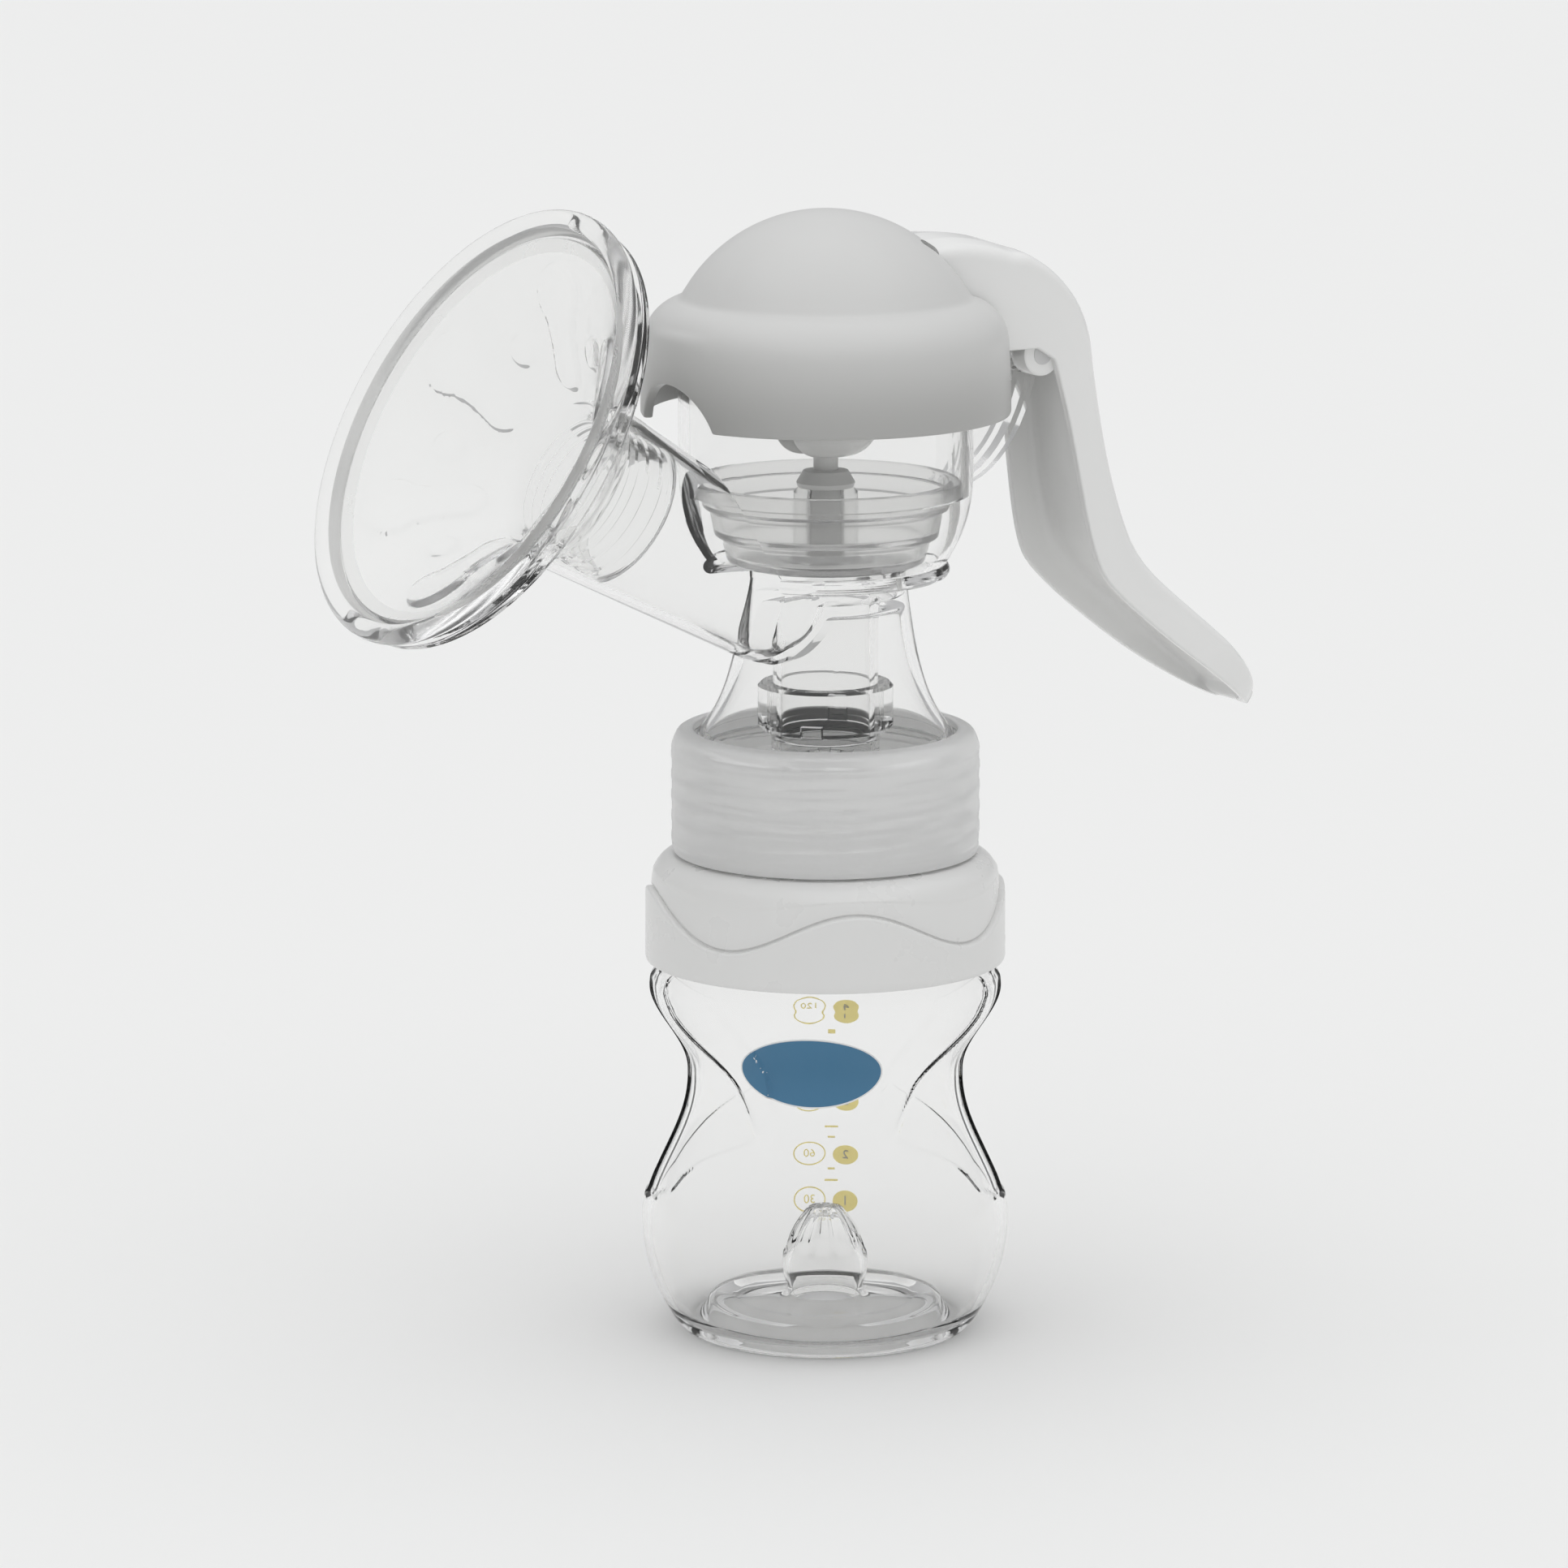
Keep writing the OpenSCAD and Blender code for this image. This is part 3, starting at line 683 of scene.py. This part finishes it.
shade(head.data, 35)
head.data.materials.clear()
head.data.materials.append(body_clear)
place_piece(head, "head", ["pump_body", "chamber", "shield_funnel", "handle_bracket"])


# ---- cushion ---------------------------------------------------------------------------------

PETALS = 6
PETAL_TURN = math.radians(6)


def cushion_relief(r, a):
    """Height of the massage pads and of the dots between them on the cone."""
    out = np.zeros(r.shape)
    for k in range(PETALS):
        turn = np.mod(a - PETAL_TURN - k * 2 * math.pi / PETALS + math.pi, 2 * math.pi) - math.pi
        x, y = r * np.cos(turn) / 0.83, r * np.sin(turn)
        d = np.minimum(np.hypot(x - 36.2, y) - 6.4, np.hypot(x - 22.5, y) - 3.9)
        t = np.clip((x - 22.5) / 13.7, 0, 1)
        waist = np.hypot(x - 22.5 - 13.7 * t, y) - (3.9 + 2.5 * t)
        d = np.minimum(d, waist + 1.1 * np.sin(math.pi * t))
        out = np.maximum(out, 1.1 * smooth(0.25, -0.7, d) + 0.25 * smooth(-0.5, -4.5, d))
        out -= 0.3 * np.exp(-(((d - 0.75) / 0.45) ** 2))
        turn = np.mod(turn + math.pi / PETALS + math.pi, 2 * math.pi) - math.pi
        dot = np.hypot(r * np.cos(turn) / 0.83 - 28.4, r * np.sin(turn)) - 3.3
        out = np.maximum(out, smooth(0.3, -1.0, dot))
        out -= 0.25 * np.exp(-(((dot - 0.7) / 0.4) ** 2))
    return out


def cushion_warp(r, w, a):
    front = (r > 12.6) & (r < 38.4) & (w > -3.9 - (38.6 - r) * CONE * 1.03)
    lift = np.where(front, cushion_relief(r, a) * smooth(12.6, 15, r) * smooth(38.4, 37, r), 0.0)
    return r - 0.55 * 1.15 * lift, w + 0.83 * 1.15 * lift


cushion_front = [(11.5, -24.4), (11.7, -23.2), (12.3, -22.2)]
cushion_front += [(12.9 + 25.4 * t, -21.4 + 18.1 * t + 0.9 * math.sin(math.pi * t)) for t in np.linspace(0,
                                        1, 130)]
cushion_front += [(38.9, -2.9), (39.2, -3.4), (39.75, -3.6), (40.2, -3.1), (40.35, -2.0)]
cushion_front += arc((42.25, -2.0), 1.95, 172, -88, 20)
cushion_back = [(41.7, -4.15), (40.7, -4.75)]
cushion_back += [(40.7 - 26.1 * t, -4.75 - 26.1 * CONE * t) for t in np.linspace(0.04, 1, 10)]
cushion_back += [(13.7, -23.2), (13.35, -24.5)]
for z in (-26.2, -28.2, -30.2, -32.9, -36.2):
    cushion_back += [(13.35, z + 0.55), (13.75, z + 0.2), (13.75, z - 0.2), (13.35, z - 0.55)]
cushion_back += [(13.3, -38.1), (13.75, -38.5), (13.8, -39.5), (13.3, -39.95), (11.9, -40.0), (11.5, -39.6)]
cushion_back += [(11.5, z) for z in (-36, -32, -28)]
cushion = lathe("cushion", cushion_front + cushion_back, cushion_clear, 45,
                np.arange(540) * 2 * math.pi / 540,
                cushion_warp, SHIELD)
cushion.data.materials.append(rim_frost)
cushion.data.materials.append(rim_haze)
to_local = SHIELD.inverted()
for face in cushion.data.polygons:
    p = to_local @ face.center
    r = math.hypot(p.x, p.y) / MM
    if 36.8 < r < 40.4 and p.z / MM > -3.4 - (38.9 - min(r, 38.9)) * 0.9:
        face.material_index = 1 if r > 38.95 else 2
place_piece(cushion, "cushion", ["cushion"])


# ---- diaphragm, stem and valve ---------------------------------------------------------------

wall_profile = [
    (9.1, 149.0, 0.2), (17.2, 149.2, 1.0), (18.8, 149.9, 0.8), (19.8, 154.0, 0.8), (21.4, 155.0, 0.8),
    (22.2, 159.6, 0.8), (23.5, 160.4, 0.6), (24.1, 162.6, 0.3), (25.8, 162.6, 0.3), (25.8, 165.2, 0.5),
    (23.1, 165.2, 0.5), (22.7, 162.2, 0.8), (22.2, 161.2, 0.5), (20.9, 160.4, 0.8), (20.1, 156.2, 0.8),
    (18.6, 155.0, 0.8), (17.6, 151.2, 0.8), (16.4, 150.5, 0.8), (9.1, 150.4, 0.2),
]
diaphragm = lathe("diaphragm", dense(fillet(wall_profile, 0.3, 5), 0.6), milky, 50)
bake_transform(diaphragm)
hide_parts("diaphragm")

for node, material in (
    ("diaphragm_hub", milky),
    ("pull_stem", stem_grey),
    ("valve_cup", body_clear),
    ("valve_flap", milky),
    ("seal_ring", milky),
    ("pivot_pin", steel_pin),
):
    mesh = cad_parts[node].data
    mesh.materials.clear()
    mesh.materials.append(material)


# ---- handle ----------------------------------------------------------------------------------

back_line = cubic((18.4, 210.0), (32, 211.4), (51, 205), (53.8, 188), 40)
back_line += cubic((53.9, 187), (55, 178), (56, 163), (61.6, 149.6), 30)
back_line += cubic((62.2, 148.6), (67, 139), (83, 132), (95, 116.4), 30)
front_line = [(20, 192), (22, 188.4), (40.6, 188.4)]
front_line += cubic((44.4, 186), (49.5, 172), (50, 148), (55.4, 142.3), 40)
front_line += cubic((56, 141.5), (64, 133), (83, 119.8), (91.8, 114.5), 30) + [(93, 113.8)]
HANDLE_PAIRS = [
    ((18.4, 210.0), (20, 192)),
    ((36, 208.7), (30, 188.4)),
    ((46.5, 202.3), (40.6, 188.4)),
    ((53.0, 191), (44.4, 186)),
    ((54.6, 180), (47.0, 178)),
    ((56.2, 168), (49.0, 167)),
    ((58.6, 157), (50.6, 154)),
    ((63.4, 146.4), (55.4, 142.3)),
    ((72.5, 139), (64.5, 133.2)),
    ((84, 129), (77, 123.4)),
    ((91.4, 121), (87.2, 117)),
    ((95, 116.4), (93, 113.8)),
]
HANDLE_WALL = 1.8
HALF_LOW, HALF_HIGH = 15.1, 11.6
TAPER_LOW, TAPER_HIGH = 137, 182


class Line:
    """A polyline measured by its length."""

    def __init__(self, points):
        self.points = np.array(points, float)
        steps = np.hypot(*np.diff(self.points, axis=0).T)
        self.run = np.concatenate([[0], np.cumsum(steps)])

    def at(self, s):
        return np.array([np.interp(s, self.run, self.points[:, k]) for k in (0, 1)])

    def nearest(self, p):
        s = np.linspace(0, self.run[-1], 2000)
        d = [np.hypot(*(self.at(v) - p)) for v in s]
        return s[int(np.argmin(d))]


def handle_half(z, x):
    half = float(np.interp(z, (TAPER_LOW, TAPER_HIGH), (HALF_LOW, HALF_HIGH))) - 0.2 * float(smooth(46, 26,
                                        x))
    if z < 128.4:
        half = min(half, math.sqrt(max(15.0**2 - (128.4 - z) ** 2, 0.0)) + 0.3)
    return half


def handle_section(back, front, half, end):
    """Closed U outline of the channel as (across, depth), open at depth 0. It fills in where end is 1."""
    deep = float(np.hypot(*(back - front)))
    wall = HANDLE_WALL
    flat = float(smooth(35.5, 39.5, back[0]))
    corner = min(6.5 - 3.9 * flat + 0.8 * float(smooth(150, 120, back[1])), 0.42 * deep)
    crown = (1.6 - 0.9 * flat) * (1 - end)
    deep -= 1.1 - 1.1 * flat
    floor = (deep - wall) * (1 - end) + 0.25 * end
    inner = max(half - wall - 1.5 * end, 0.4)
    points = [(-half, 0.0, 0.5), (-half + 0.12, deep * 0.5, 8.0), (-half + 0.5, deep - 0.1, corner)]
    points += [(-half * 0.5, deep + crown * 0.72, 8.0), (0, deep + crown, 8.0),
               (half * 0.5, deep + crown * 0.72, 8.0)]
    points += [(half - 0.5, deep - 0.1, corner), (half - 0.12, deep * 0.5, 8.0), (half, 0.0, 0.5)]
    points += [(inner, 0.0, 0.5), (inner - 0.3, floor, min(4.5, 0.45 * floor))]
    points += [(-inner + 0.3, floor, min(4.5, 0.45 * floor)), (-inner, 0.0, 0.5)]
    out = []
    count = len(points)
    for i, (y, h, r) in enumerate(points):
        here = Vector((y, h))
        a = Vector(points[i - 1][:2]) - here
        b = Vector(points[(i + 1) % count][:2]) - here
        half_angle = a.angle(b) / 2
        cut = min(r / max(math.tan(half_angle), 1e-6), 0.45 * a.length, 0.45 * b.length)
        p, q = here + a.normalized() * cut, here + b.normalized() * cut
        n = 6
        out += [tuple(p * (1 - k / n) ** 2 + here * 2 * (k / n) * (1 - k / n) + q * (k / n) ** 2)
                for k in range(n + 1)]
    return out


def build_handle():
    back, front = Line(back_line), Line(front_line)
    s_back = [back.nearest(np.array(b)) for b, f in HANDLE_PAIRS]
    s_front = [front.nearest(np.array(f)) for b, f in HANDLE_PAIRS]
    u = np.arange(len(HANDLE_PAIRS))
    verts, rows = [], []
    stations = list(np.linspace(0, u[-1], 150))
    for v in stations:
        b = back.at(np.interp(v, u, s_back))
        f = front.at(np.interp(v, u, s_front))
        end = float(smooth(u[-1] - 0.42, u[-1] - 0.05, v))
        half = handle_half(0.5 * (b[1] + f[1]), b[0])
        across = (b - f) / np.hypot(*(b - f))
        row = []
        for y, h in handle_section(b, f, half, end):
            p = f + across * h
            row.append(len(verts))
            verts.append((p[0], y, p[1]))
        rows.append(row)
    tip_b, tip_f = back.at(s_back[-1]), front.at(s_front[-1])
    middle = 0.5 * (tip_b + tip_f)
    along = np.array([0.72, -0.69])
    for k in (1, 2, 3):
        turn = math.radians(90 * k / 3.2)
        shrink, ahead = math.cos(turn), 1.3 * math.sin(turn)
        row = []
        for i in rows[149]:
            x, y, z = verts[i]
            p = middle + (np.array([x, z]) - middle) * shrink + along * ahead
            row.append(len(verts))
            verts.append((p[0], y * (0.55 + 0.45 * shrink), p[1]))
        rows.append(row)
    faces = []
    for p, q in zip(rows, rows[1:]):
        n = len(p)
        faces += [[p[i], p[(i + 1) % n], q[(i + 1) % n], q[i]] for i in range(n)]
    faces += [list(reversed(rows[0])), list(rows[-1])]
    return mesh_object("handle", verts, faces, handle_white, 38)


handle = build_handle()
place_piece(handle, "handle", ["handle"])

for side, tag in ((-1, "near"), (1, "far")):
    boss = lathe("handle_boss_" + tag,
                 fillet([(0, -4.4), (4.2, -4.4, 0.3), (4.2, 4.4, 0.6), (0, 4.4)], 0.3), handle_white, 35,
                 np.arange(48) * 2 * math.pi / 48,
                 place=Matrix.Translation((0.0425, side * 0.0079,
                                        0.187)) @ Matrix.Rotation(side * -math.pi / 2, 4, "X")
                 @ Matrix.Scale(0.52, 4, (0, 0, 1)))
    place_piece(boss, "handle", ())

arm_side = [(24, 206.6), (15, 196.5), (6, 185), (3.5, 178), (6, 174.6), (10, 176.5), (13, 180),
            (24, 188.6), (34, 188.6), (34, 206.6)]
arm = plate("handle_arm", fillet(arm_side, 1.5, 4), 6.9, handle_white)
bevel(arm, 0.6, 3)
stem_room = lathe("stem_room", [(0, 177.9), (7.4, 177.9), (7.4, 187.2), (0, 187.2)], None, 35,
                  np.arange(64) * 2 * math.pi / 64)
combine(arm, stem_room, "DIFFERENCE")
fork_profile = fillet([(0, 170), (4.6, 170, 0.4)] + arc((4, 176), 6, -76, 0, 9) + [(10, 177.9, 0.3),
                                        (0, 177.9)], 0.2)
fork = lathe("handle_fork", fork_profile, handle_white, 35, np.arange(96) * 2 * math.pi / 96)
slot_outline = [(2.7 + 3 * math.cos(t), 3 * math.sin(t)) for t in np.linspace(-math.pi / 2, math.pi / 2,
                                        17)] + [(-14, 3), (-14, -3)]
n = len(slot_outline)
for target in (fork, arm):
    verts = [(x, y, 165) for x, y in slot_outline] + [(x, y, 178.5 if target is fork else 187) for x,
                                        y in slot_outline]
    faces = [list(range(n)),
             list(range(2 * n - 1, n - 1, -1))] + [[i, (i + 1) % n, n + (i + 1) % n, n + i] for i in range(n)]
    combine(target, mesh_object("slot", verts, faces), "DIFFERENCE")
    shade(target.data, 35)
    target.data.materials.clear()
    target.data.materials.append(handle_white)
    place_piece(target, "handle", ())


# ---- cap -------------------------------------------------------------------------------------

CAP_LOW, CAP_TOP = 177.9, 216.6


def arch_edge(a):
    """Height of the cap's lower edge: it rises in an arch over the shield's tube, at -X."""
    y = 35.0 * np.sin(a)
    high = 172.4 + np.sqrt(np.clip(13.5**2 - y * y, 0, None))
    high = np.where((np.cos(a) < 0) & (np.abs(y) < 13.5), high, CAP_LOW)
    return np.where(high > CAP_LOW, high, CAP_LOW)


def cap_warp(r, z, a):
    top = 196.0
    low = arch_edge(a)
    share = np.clip((top - z) / (top - CAP_LOW), 0, 1)
    return r, np.where(r > 30.5, z + (low - CAP_LOW) * share, z)


cap_outer = [(34.5, CAP_LOW), (34.9, CAP_LOW + 0.12), (35.08, CAP_LOW + 0.5)]
cap_outer += [(35.1 - 0.45 * t**2, CAP_LOW + 0.6 + 12.7 * t) for t in np.linspace(0.0, 1, 14)]
cap_outer += arc((25.85, 191.2), 8.8, 4, 72, 14)
cap_outer += cubic((28.3, 199.65), (27.6, 199.95), (27.3, 200.4), (26.9, 201.1), 5)
cap_outer += arc((0, CAP_TOP - 31), 31, 31, 89, 30) + [(0, CAP_TOP)]
cap_inner = [(0, CAP_TOP - 1.8)] + arc((0, CAP_TOP - 31), 29.2, 89, 32, 20)
cap_inner += cubic((24.8, 200.7), (25.5, 199.6), (26.0, 198.8), (28.0, 197.8), 5)
cap_inner += arc((25.8, 191.2), 7.0, 60, 2, 10)
cap_inner += [(32.8 + 0.5 * t, 191 - 12.6 * t) for t in np.linspace(0.08, 1, 12)]
cap_inner += [(33.35, CAP_LOW + 0.15), (33.6, CAP_LOW)]
fine = np.radians(np.concatenate([np.arange(-155, 155, 1.5), np.arange(155, 205, 0.5)]))
cap = lathe("cap", cap_outer + cap_inner, None, 40, fine, cap_warp)
way = plate("way", [(14.0, 170), (50, 170), (50, 210.9), (14.0, 210.9)], 12.2)
combine(cap, way, "DIFFERENCE")
cap.data.materials.clear()
# The cap's material carries painted shade that darkens the skirt towards its lower edge.
cap.data.materials.append(cap_grey_painted_shade)
shade(cap.data, 35)
place_piece(cap, "cap", ["cap"])

inner_rib = [(28.4, 186.75, 0.3), (29.7, 186.75, 0.3), (29.7, 197.6, 0.2), (28.4, 198.2, 0.2)]
rib_turns = np.radians(np.linspace(28, 332, 140))
verts, faces = [], []
rib_outline = fillet(inner_rib, 0.3)
for t in rib_turns:
    verts += [(r * math.cos(t), r * math.sin(t), z) for r, z in rib_outline]
n = len(rib_outline)
for i in range(len(rib_turns) - 1):
    faces += [[i * n + k, i * n + (k + 1) % n, (i + 1) * n + (k + 1) % n, (i + 1) * n + k] for k in range(n)]
faces += [list(range(n - 1, -1, -1)), list(range((len(rib_turns) - 1) * n, len(rib_turns) * n))]
rib = mesh_object("cap_rib", verts, faces, cap_grey_painted_shade)
place_piece(rib, "cap", ())


# ---- camera, floor and light -----------------------------------------------------------------

TARGET = Vector((-0.006704, 0.004189, 0.1062))
BACK = Vector((-0.51965, -0.83161, 0.19595)).normalized()
RIGHT = Vector((0.84805, -0.52992, 0)).normalized()
UP = BACK.cross(RIGHT)
DISTANCE = 1.55
camera_data = bpy.data.cameras.new("camera")
camera_data.sensor_width = 36
camera_data.lens = 36 * DISTANCE / (0.000155 * 1932)
camera_data.clip_end = 100
camera = bpy.data.objects.new("camera", camera_data)
camera.matrix_world = Matrix.Translation(TARGET + BACK * DISTANCE) @ Matrix((RIGHT, UP,
                                        BACK)).transposed().to_4x4()
bpy.context.scene.collection.objects.link(camera)
bpy.context.scene.camera = camera

floor_mat = plastic("floor", (0.86, 0.86, 0.85), 0.7, vary=0.002, rough_vary=0.02, grain=0.02,
                    grain_scale=300)
half = 9.0
floor = mesh_object("floor",
                    [(x * half / MM, y * half / MM, 0) for x,
                    y in ((-1, -1), (1, -1), (1, 1), (-1, 1))], [[0, 1, 2, 3]], floor_mat)

world = bpy.data.worlds.new("studio")
world.use_nodes = True
tree = world.node_tree
sky = tree.nodes["Background"]
sky.inputs["Color"].default_value = (0.985, 0.99, 1.0, 1)
where = tree.nodes.new("ShaderNodeTexCoord")
split = tree.nodes.new("ShaderNodeSeparateXYZ")
rise = tree.nodes.new("ShaderNodeMapRange")
rise.inputs["To Min"].default_value = 0.4
rise.inputs["To Max"].default_value = 0.98
tree.links.new(where.outputs["Generated"], split.inputs["Vector"])
tree.links.new(split.outputs["Z"], rise.inputs["Value"])
tree.links.new(rise.outputs["Result"], sky.inputs["Strength"])
bpy.context.scene.world = world

sun_data = bpy.data.lights.new("overhead", "SUN")
sun_data.energy = 0.75
sun_data.angle = math.radians(90)
sun = bpy.data.objects.new("overhead", sun_data)
sun.rotation_euler = (math.radians(12), math.radians(-8), 0)
bpy.context.scene.collection.objects.link(sun)

bpy.context.scene.view_settings.view_transform = "Standard"
